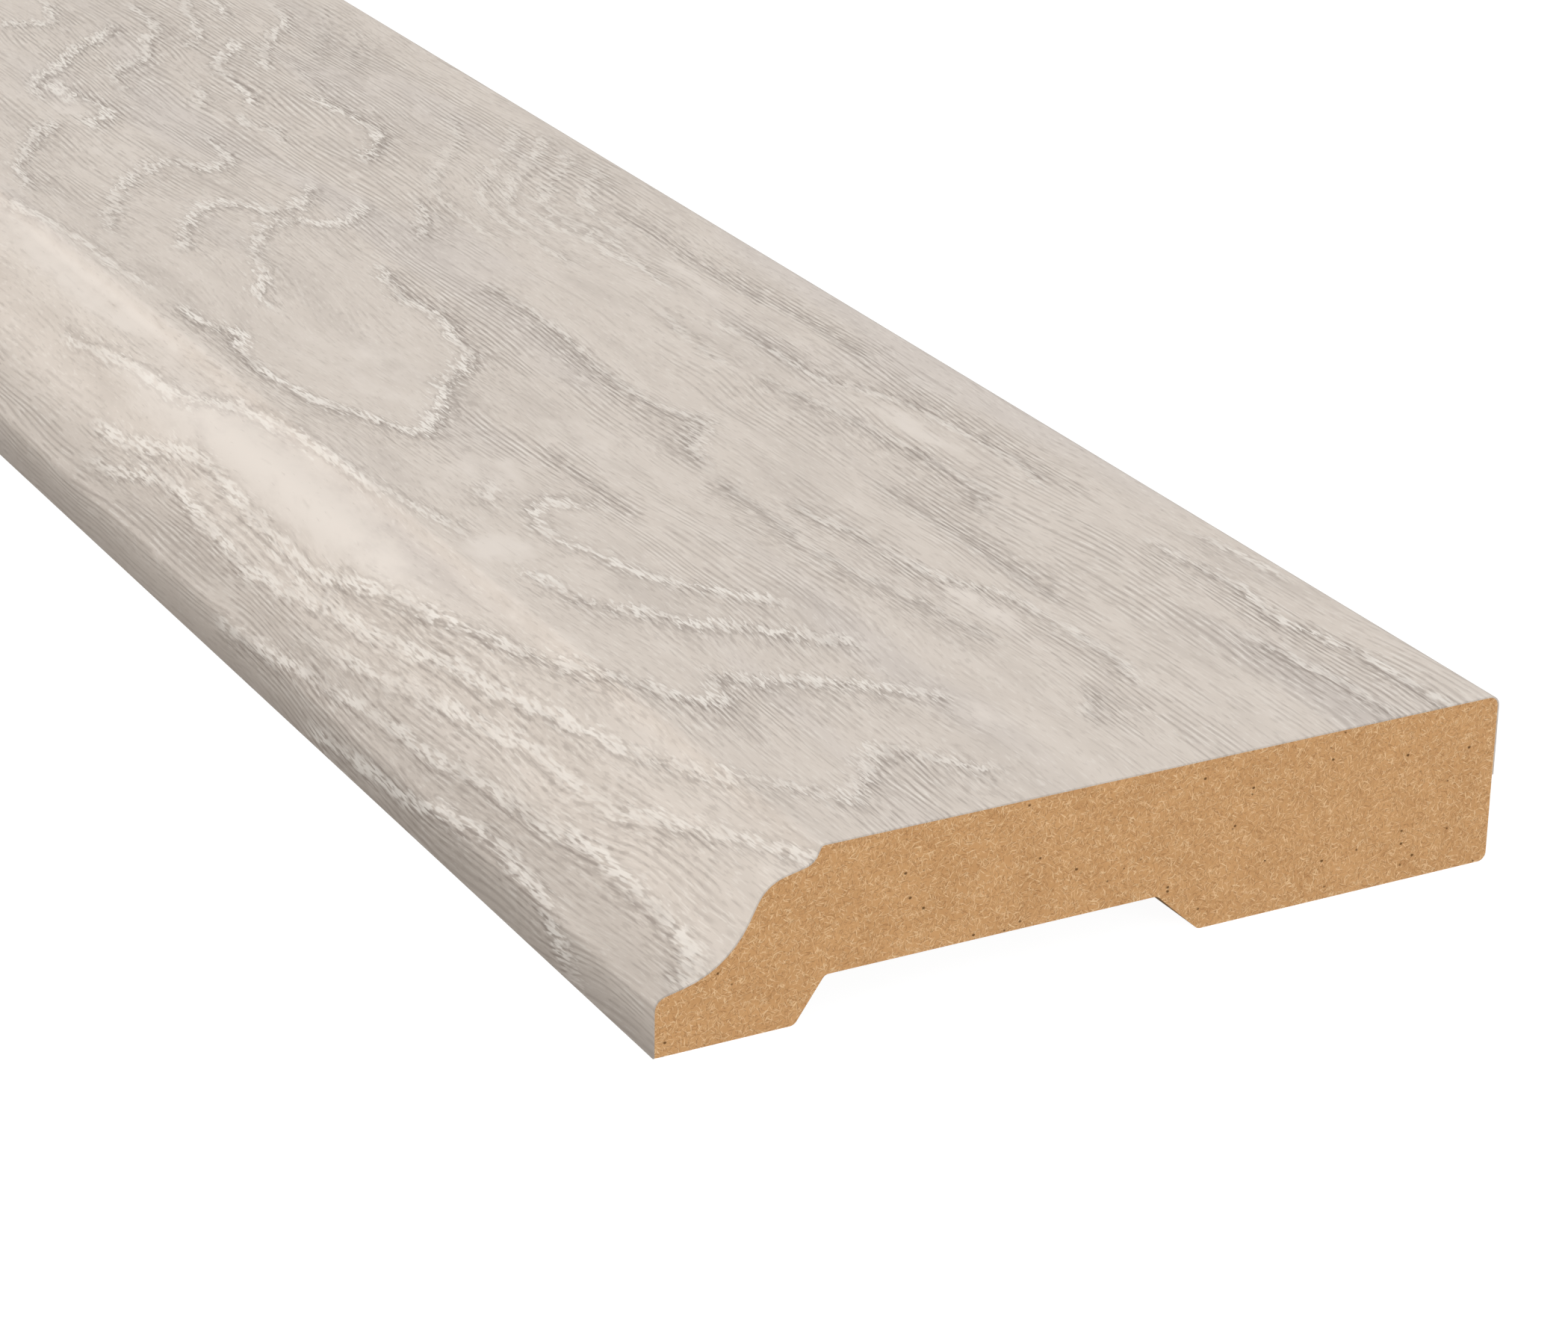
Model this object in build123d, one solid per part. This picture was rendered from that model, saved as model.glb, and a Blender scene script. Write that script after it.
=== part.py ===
from build123d import *
import math
import os

# A wood-look baseboard: a moulded fibreboard core wrapped in a decor laminate. It lies on its back.
# X runs along the board, Y across it from the moulded edge to the floor edge, Z up from the back.
# All lengths are in millimetres and all slopes in degrees from the level face.

# Sizes of the board as it is sold, laminate included
board_length = 2400.0
board_width = 82.55
board_thickness = 15.9
laminate_thickness = 0.15

# The moulded edge, from the flat face down to the nose
arris_radius = 0.4
riser_slope = 65.0
riser_length = 0.6
quirk_radius = 1.6
ledge_slope = 12.5
ledge_length = 2.0
crown_radius = 3.5
ogee_slope = 63.0
ogee_length = 1.8
cove_radius = 8.6
toe_slope = 12.5
toe_length = 1.8
nose_radius = 1.2

# The floor edge, with the laminate turned part of the way down it
floor_edge_radius = 0.9
laminate_turndown = 7.5
back_corner_radius = 0.8

# The relief groove in the back, between the two lands that meet the wall
moulded_land = 12.8
floor_land = 30.2
groove_depth = 4.0
moulded_wall_slope = 55.0
floor_wall_slope = 43.0
groove_corner_radius = 0.7
land_corner_radius = 0.8

# Sizes that follow from those above
core_width = board_width - 2 * laminate_thickness
core_thickness = board_thickness - laminate_thickness
half_width = core_width / 2
laminate_end = core_thickness - laminate_turndown


def onward(path, distance):
    """A straight that carries on from the end of a path."""
    return Line(path @ 1, path @ 1 + (path % 1) * distance)


def bend(path, radius, angle):
    """An arc that carries on from the end of a path, downwards for a positive angle."""
    return JernArc(path @ 1, path % 1, radius, angle)


def moulding(skin):
    """The moulded edge at a height of skin over the core, from the end of its flat face at the origin."""
    arris = JernArc((0, skin), (-1, 0), arris_radius + skin, riser_slope)
    riser = onward(arris, riser_length)
    quirk = bend(riser, quirk_radius - skin, ledge_slope - riser_slope)
    ledge = onward(quirk, ledge_length)
    crown = bend(ledge, crown_radius + skin, ogee_slope - ledge_slope)
    ogee = onward(crown, ogee_length)
    cove = bend(ogee, cove_radius - skin, toe_slope - ogee_slope)
    toe = onward(cove, toe_length)
    nose = bend(toe, nose_radius + skin, 90 - toe_slope)
    return [arris, riser, quirk, ledge, crown, ogee, cove, toe, nose]


# The flat face ends where the moulded edge just reaches the side of the core
moulding_width = -(moulding(0)[-1] @ 1).X
flat_end = moulding_width - half_width


def show_side(skin):
    """The show side at a height of skin over the core, from the laminate's end to the moulded edge's foot."""
    side = half_width + skin
    edge = Line((side, laminate_end), (side, core_thickness - floor_edge_radius))
    corner = bend(edge, floor_edge_radius + skin, 90)
    curves = [Pos(flat_end, core_thickness) * curve for curve in moulding(skin)]
    face = Line(corner @ 1, curves[0] @ 0)
    foot = Line(curves[-1] @ 1, (-side, 0))
    return [edge, corner, face, *curves, foot]


# The back of the core, from the moulded edge's foot across the groove and up the floor edge
moulded_wall_run = groove_depth / math.tan(math.radians(moulded_wall_slope))
floor_wall_run = groove_depth / math.tan(math.radians(floor_wall_slope))
moulded_land_end = moulded_land - half_width
floor_land_end = half_width - floor_land
back = FilletPolyline(
    (-half_width, 0),
    (moulded_land_end, 0),
    (moulded_land_end + moulded_wall_run, groove_depth),
    (floor_land_end - floor_wall_run, groove_depth),
    (floor_land_end, 0),
    (half_width, 0),
    (half_width, laminate_end),
    radius=[
        land_corner_radius,
        groove_corner_radius,
        groove_corner_radius,
        land_corner_radius,
        back_corner_radius,
    ],
)

# The two sections
core_face = show_side(0)
laminate_face = show_side(laminate_thickness)
core_section = make_face([*core_face, *back.edges()])
laminate_section = make_face(
    [
        *core_face,
        Line(core_face[-1] @ 1, laminate_face[-1] @ 1),
        *laminate_face,
        Line(laminate_face[0] @ 0, core_face[0] @ 0),
    ]
)


def run_out(section):
    """A length of the board with this section, middled on the origin."""
    return extrude(Plane.YZ * section, amount=board_length / 2, both=True)


os.makedirs("parts", exist_ok=True)
export_step(run_out(core_section), "parts/mdf_core.step")
export_step(run_out(laminate_section), "parts/laminate_wrap.step")
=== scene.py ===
import math

import bpy
import numpy as np
from mathutils import Matrix, Vector


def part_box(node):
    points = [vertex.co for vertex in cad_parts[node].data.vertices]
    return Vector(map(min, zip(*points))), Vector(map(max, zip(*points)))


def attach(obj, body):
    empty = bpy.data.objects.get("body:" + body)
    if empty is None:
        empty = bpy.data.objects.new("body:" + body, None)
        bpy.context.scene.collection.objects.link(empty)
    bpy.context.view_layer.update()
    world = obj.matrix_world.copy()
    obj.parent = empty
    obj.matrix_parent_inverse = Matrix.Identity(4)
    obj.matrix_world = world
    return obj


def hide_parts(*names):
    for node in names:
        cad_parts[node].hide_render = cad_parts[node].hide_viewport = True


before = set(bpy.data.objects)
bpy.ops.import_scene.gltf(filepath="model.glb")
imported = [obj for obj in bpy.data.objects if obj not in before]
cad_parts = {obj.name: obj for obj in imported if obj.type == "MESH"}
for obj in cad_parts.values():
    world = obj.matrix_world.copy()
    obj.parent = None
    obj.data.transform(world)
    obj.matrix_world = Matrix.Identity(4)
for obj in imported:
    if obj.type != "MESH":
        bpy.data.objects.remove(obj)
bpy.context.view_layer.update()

# A wood-look baseboard on its back: a fibreboard core wrapped in a laminate with a limed-oak print.
# X runs along the board, Y across it from the moulded edge to the floor edge, Z up from the back.
# Lengths are in metres and angles in degrees, unless a name ends in _mm.

MM = 0.001

# The section, at the sizes of the solids
CORE_LOW, CORE_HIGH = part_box("mdf_core")
WRAP_LOW, WRAP_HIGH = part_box("laminate_wrap")
HALF_LENGTH = WRAP_HIGH.x
HALF_WIDTH = CORE_HIGH.y
CORE_THICKNESS = CORE_HIGH.z
SKIN = WRAP_HIGH.z - CORE_HIGH.z

ARRIS_RADIUS = 0.4 * MM
RISER_SLOPE = 65.0
RISER_LENGTH = 0.6 * MM
QUIRK_RADIUS = 1.6 * MM
LEDGE_SLOPE = 12.5
LEDGE_LENGTH = 2.0 * MM
CROWN_RADIUS = 3.5 * MM
OGEE_SLOPE = 63.0
OGEE_LENGTH = 1.8 * MM
COVE_RADIUS = 8.6 * MM
TOE_SLOPE = 12.5
TOE_LENGTH = 1.8 * MM
NOSE_RADIUS = 1.2 * MM

FLOOR_EDGE_RADIUS = 0.9 * MM
LAMINATE_TURNDOWN = 7.5 * MM
BACK_CORNER_RADIUS = 0.8 * MM
MOULDED_LAND = 12.8 * MM
FLOOR_LAND = 30.2 * MM
GROOVE_DEPTH = 4.0 * MM
MOULDED_WALL_SLOPE = 55.0
FLOOR_WALL_SLOPE = 43.0
GROOVE_CORNER_RADIUS = 0.7 * MM
LAND_CORNER_RADIUS = 0.8 * MM

# How finely the meshes follow the section and the length; the print is finest near the sawn end that shows
ARC_STEP = 8.0
FLAT_STEP = 1.25 * MM
FINE_LENGTH = 262.5 * MM
FINE_STEP = 1.5 * MM
PLAIN_STEP = 12.5 * MM
CORE_STEP = 100.0 * MM
SHARP_EDGE = 30.0
LEVEL_TOLERANCE = 1e-7

# The sheet that colours are baked to: strips of the length one over the other, and a row for the two ends
STRIPS = 6
ENDS_ROW = 0.11
SHEET_MARGIN = 0.01
END_WIDTH = 0.48

# The parts of a strip's height for the stretches of a section that show and for those that are hidden
SHOWN_BAND = (0.1, 0.97)
HIDDEN_BAND = (0.02, 0.05)


class Trace:
    """A walk along a section in the Y-Z plane, made of straights and arcs, that leaves points behind it."""

    def __init__(self, start, heading):
        self.points = [Vector(start)]
        self.heading = heading

    def along(self):
        """The unit vector of the present heading."""
        angle = math.radians(self.heading)
        return Vector((math.cos(angle), math.sin(angle)))

    def straight(self, distance):
        """A straight stretch with points at even steps."""
        steps = max(1, round(distance / FLAT_STEP))
        start = self.points[-1]
        for step in range(1, steps + 1):
            self.points.append(start + self.along() * distance * step / steps)
        return self

    def straight_to(self, point):
        """A straight stretch as long as the way to a point, which lies straight ahead."""
        return self.straight((Vector(point) - self.points[-1]).length)

    def bend(self, radius, turn):
        """An arc to the left for a positive turn, and to the right for a negative one."""
        steps = max(2, math.ceil(abs(turn) / ARC_STEP))
        side = math.copysign(radius, turn)
        centre = self.points[-1] + self.along().orthogonal() * side
        spoke = self.points[-1] - centre
        for step in range(1, steps + 1):
            turned = Matrix.Rotation(math.radians(turn * step / steps), 2) @ spoke
            self.points.append(centre + turned)
        self.heading += turn
        return self


def moulding(trace, skin):
    """Carries a trace from the flat face down over the moulded edge, at a height of skin over the core."""
    trace.bend(ARRIS_RADIUS + skin, RISER_SLOPE).straight(RISER_LENGTH)
    trace.bend(QUIRK_RADIUS - skin, LEDGE_SLOPE - RISER_SLOPE).straight(LEDGE_LENGTH)
    trace.bend(CROWN_RADIUS + skin, OGEE_SLOPE - LEDGE_SLOPE).straight(OGEE_LENGTH)
    trace.bend(COVE_RADIUS - skin, TOE_SLOPE - OGEE_SLOPE).straight(TOE_LENGTH)
    return trace.bend(NOSE_RADIUS + skin, 90 - TOE_SLOPE)


# The flat face ends where the moulded edge just reaches the side of the core
MOULDING_WIDTH = -moulding(Trace((0, 0), 180), 0).points[-1].x
FLAT_END = MOULDING_WIDTH - HALF_WIDTH
LAMINATE_END = CORE_THICKNESS - LAMINATE_TURNDOWN


def show_side(skin):
    """The show side at a height of skin over the core, from the laminate's end to the moulded edge's foot."""
    trace = Trace((HALF_WIDTH + skin, LAMINATE_END), 90)
    trace.straight(LAMINATE_TURNDOWN - FLOOR_EDGE_RADIUS)
    trace.bend(FLOOR_EDGE_RADIUS + skin, 90)
    trace.straight(trace.points[-1].x - FLAT_END)
    moulding(trace, skin)
    return trace.straight(trace.points[-1].y).points


def rounded(trace, corner, radius, turn):
    """Goes on to a corner of the back and round it."""
    tangent = radius * math.tan(math.radians(abs(turn)) / 2)
    return trace.straight((Vector(corner) - trace.points[-1]).length - tangent).bend(radius, turn)


def back_side():
    """The back of the core, from the moulded edge's foot across the groove and up to the laminate's end."""
    land_end = MOULDED_LAND - HALF_WIDTH
    wall_top = land_end + GROOVE_DEPTH / math.tan(math.radians(MOULDED_WALL_SLOPE))
    floor_land_end = HALF_WIDTH - FLOOR_LAND
    floor_wall_top = floor_land_end - GROOVE_DEPTH / math.tan(math.radians(FLOOR_WALL_SLOPE))
    trace = Trace((-HALF_WIDTH, 0), 0)
    rounded(trace, (land_end, 0), LAND_CORNER_RADIUS, MOULDED_WALL_SLOPE)
    rounded(trace, (wall_top, GROOVE_DEPTH), GROOVE_CORNER_RADIUS, -MOULDED_WALL_SLOPE)
    rounded(trace, (floor_wall_top, GROOVE_DEPTH), GROOVE_CORNER_RADIUS, -FLOOR_WALL_SLOPE)
    rounded(trace, (floor_land_end, 0), LAND_CORNER_RADIUS, FLOOR_WALL_SLOPE)
    rounded(trace, (HALF_WIDTH, 0), BACK_CORNER_RADIUS, 90)
    return trace.straight_to((HALF_WIDTH, LAMINATE_END)).points


def walked(points):
    """The distance of each point from the first one, along the section."""
    distances = [0.0]
    for before, after in zip(points, points[1:]):
        distances.append(distances[-1] + (after - before).length)
    return distances


def across_grain(points):
    """The place of each point of the show side across the print, which counts as Y on the flat face."""
    distances = walked(points)
    top = max(point.y for point in points)
    flat = next(index for index, point in enumerate(points) if top - point.y < LEVEL_TOLERANCE)
    return [points[flat].x + distances[flat] - distance for distance in distances]


def sheet_rows(ring, shown):
    """The share of a strip on the bake sheet for each stretch of a section. Those that show come first."""
    lengths = [(ring[(index + 1) % len(ring)] - point).length for index, point in enumerate(ring)]
    rows = []
    for group, (low, high) in ((lengths[:shown], SHOWN_BAND), (lengths[shown:], HIDDEN_BAND)):
        place = low
        for length in group:
            step = (high - low) * length / sum(group)
            rows.append((place, place + step))
            place += step
    return rows


class Loft:
    """A closed mesh with one section over the whole length, and the maps that its material reads."""

    def __init__(self, ring, shown, across, ends, end_map):
        """ring holds the section's points, and its first stretches, as many as shown, are those that show.

        across holds each point's place across the grain, ends the faces of one end, and end_map the places of
        the ring's points on the bake sheet, from 0 to 1, as they lie on an end."""
        self.ring = ring
        self.across = across
        self.rows = sheet_rows(ring, shown)
        self.ends = ends
        self.end_map = end_map
        self.faces = []
        self.maps = {"Grain": [], "OFBake": []}

    def add_face(self, corners, grain, sheet):
        """One face, with the places of its corners on the two maps."""
        self.faces.append(corners)
        self.maps["Grain"] += grain
        self.maps["OFBake"] += sheet

    def add_length(self, station, near, far):
        """The faces between one station and the next, which lie at near and far along the board."""
        count = len(self.ring)
        low = station * count
        high = low + count
        strip_length = 2 * HALF_LENGTH / STRIPS
        strip_height = (1 - ENDS_ROW) / STRIPS
        strip = int(((near + far) / 2 + HALF_LENGTH) / strip_length)
        foot = ENDS_ROW + strip_height * strip
        shares = [(x + HALF_LENGTH) / strip_length - strip for x in (near, far)]
        left, right = [SHEET_MARGIN + (1 - 2 * SHEET_MARGIN) * share for share in shares]
        for index in range(count):
            after = (index + 1) % count
            start, stop = self.across[index], self.across[after]
            bottom, top = [foot + strip_height * share for share in self.rows[index]]
            self.add_face(
                (low + index, low + after, high + after, high + index),
                [(near, start), (near, stop), (far, stop), (far, start)],
                [(left, bottom), (left, top), (right, top), (right, bottom)],
            )

    def add_end(self, base, side, grain):
        """One end: side 0 lies at the left of the bake sheet and side 1 at its right."""
        left = SHEET_MARGIN + side / 2
        height = ENDS_ROW - 2 * SHEET_MARGIN
        for face in self.ends:
            order = face if side else face[::-1]
            places = [self.end_map[index] for index in order]
            self.add_face(
                tuple(base + index for index in order),
                [grain[index] for index in order],
                [(left + END_WIDTH * u, SHEET_MARGIN + height * v) for u, v in places],
            )

    def build(self, name, material, stations, end_grain):
        """The object. end_grain gives the Grain map of an end from where it lies along the board."""
        last = len(stations) - 1
        for station in range(last):
            self.add_length(station, stations[station], stations[station + 1])
        self.add_end(0, 0, end_grain(-HALF_LENGTH))
        self.add_end(last * len(self.ring), 1, end_grain(HALF_LENGTH))
        mesh = bpy.data.meshes.new(name)
        mesh.from_pydata([(x, point.x, point.y) for x in stations for point in self.ring], [], self.faces)
        for title, places in self.maps.items():
            layer = mesh.uv_layers.new(name=title)
            layer.data.foreach_set("uv", np.array(places, dtype=np.float32).ravel())
        mesh.materials.append(material)
        mesh.shade_smooth()
        mesh.set_sharp_from_angle(angle=math.radians(SHARP_EDGE))
        piece = bpy.data.objects.new(name, mesh)
        bpy.context.scene.collection.objects.link(piece)
        return piece


def evenly(start, stop, step):
    """Places from start to stop, about a step apart."""
    return np.linspace(start, stop, round((stop - start) / step) + 1).tolist()


def linear(red, green, blue):
    """A colour given as it looks on a screen, from 0 to 255, as the shader takes it."""
    channels = [value / 255 for value in (red, green, blue)]
    mixed = [c / 12.92 if c <= 0.04045 else ((c + 0.055) / 1.055) ** 2.4 for c in channels]
    return (*mixed, 1.0)


def feed(tree, places, values):
    """Gives values to a node's inputs: each is a plain value or a Wire."""
    for place, value in zip(places, values):
        if isinstance(value, Wire):
            tree.links.new(value.socket, place)
        else:
            place.default_value = value


class Wire:
    """A number in a material's node tree, with the arithmetic that a formula needs."""

    def __init__(self, tree, socket):
        self.tree = tree
        self.socket = socket

    def math(self, operation, *others):
        """The result of one of Blender's math operations on this number and others."""
        node = self.tree.nodes.new("ShaderNodeMath")
        node.operation = operation
        feed(self.tree, node.inputs, (self, *others))
        return Wire(self.tree, node.outputs[0])

    def __add__(self, other):
        return self.math("ADD", other)

    def __sub__(self, other):
        return self.math("SUBTRACT", other)

    def __mul__(self, other):
        return self.math("MULTIPLY", other)

    def __truediv__(self, other):
        return self.math("DIVIDE", other)

    def rise(self, low, high):
        """0 up to low and 1 from high on, with a smooth ramp between. high may be the smaller one."""
        node = self.tree.nodes.new("ShaderNodeMapRange")
        node.interpolation_type = "SMOOTHSTEP"
        feed(self.tree, node.inputs, (self, low, high))
        return Wire(self.tree, node.outputs[0])

    def capped(self):
        """This number, or 1 where it is larger."""
        return self.math("MINIMUM", 1.0)


def largest(first, *others):
    """The largest of several numbers."""
    for other in others:
        first = first.math("MAXIMUM", other)
    return first


class Paint:
    """A material whose pattern is worked out in its node tree."""

    def __init__(self, name):
        self.material = bpy.data.materials.new(name)
        self.material.use_nodes = True
        self.tree = self.material.node_tree
        self.shader = self.tree.nodes["Principled BSDF"]

    def map(self, title):
        """The two coordinates of one of the mesh's maps."""
        source = self.tree.nodes.new("ShaderNodeUVMap")
        source.uv_map = title
        split = self.tree.nodes.new("ShaderNodeSeparateXYZ")
        self.tree.links.new(source.outputs["UV"], split.inputs[0])
        return [Wire(self.tree, split.outputs[axis]) for axis in (0, 1)]

    def grain(self):
        """The two coordinates of the Grain map, in millimetres."""
        return [place / MM for place in self.map("Grain")]

    def point(self, *coordinates):
        """A vector of up to three numbers."""
        node = self.tree.nodes.new("ShaderNodeCombineXYZ")
        feed(self.tree, node.inputs, coordinates)
        return node.outputs[0]

    def noise(self, along, across, seed, detail=1.0, roughness=0.5):
        """Smooth noise around 0.5 of two coordinates that are already in units of its size."""
        node = self.tree.nodes.new("ShaderNodeTexNoise")
        node.inputs["Scale"].default_value = 1.0
        node.inputs["Detail"].default_value = detail
        node.inputs["Roughness"].default_value = roughness
        self.tree.links.new(self.point(along, across, seed), node.inputs["Vector"])
        return Wire(self.tree, node.outputs["Fac"])

    def cells(self, along, across, seed):
        """The distance to the nearest of scattered spots, about one to a unit cell, and the spot's number."""
        node = self.tree.nodes.new("ShaderNodeTexVoronoi")
        node.inputs["Scale"].default_value = 1.0
        self.tree.links.new(self.point(along, across, seed), node.inputs["Vector"])
        split = self.tree.nodes.new("ShaderNodeSeparateColor")
        self.tree.links.new(node.outputs["Color"], split.inputs[0])
        return Wire(self.tree, node.outputs["Distance"]), Wire(self.tree, split.outputs[0])

    def mix(self, share, first, second):
        """first, a tone or the result of another mix, where share is 0, and the tone second where it is 1."""
        node = self.tree.nodes.new("ShaderNodeMix")
        node.data_type = "RGBA"
        self.tree.links.new(share.socket, node.inputs["Factor"])
        if isinstance(first, tuple):
            node.inputs["A"].default_value = first
        else:
            self.tree.links.new(first, node.inputs["A"])
        node.inputs["B"].default_value = second
        return node.outputs["Result"]

    def finish(self, colour, roughness, height, depth, specular):
        """Wires the pattern to the shader. height, from 0 to 1, stands for depth metres of relief."""
        bump = self.tree.nodes.new("ShaderNodeBump")
        bump.inputs["Strength"].default_value = 1.0
        bump.inputs["Distance"].default_value = depth
        self.tree.links.new(height.socket, bump.inputs["Height"])
        self.tree.links.new(colour, self.shader.inputs["Base Color"])
        self.tree.links.new(roughness.socket, self.shader.inputs["Roughness"])
        self.tree.links.new(bump.outputs["Normal"], self.shader.inputs["Normal"])
        self.shader.inputs["Specular IOR Level"].default_value = specular
        return self.material


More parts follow.
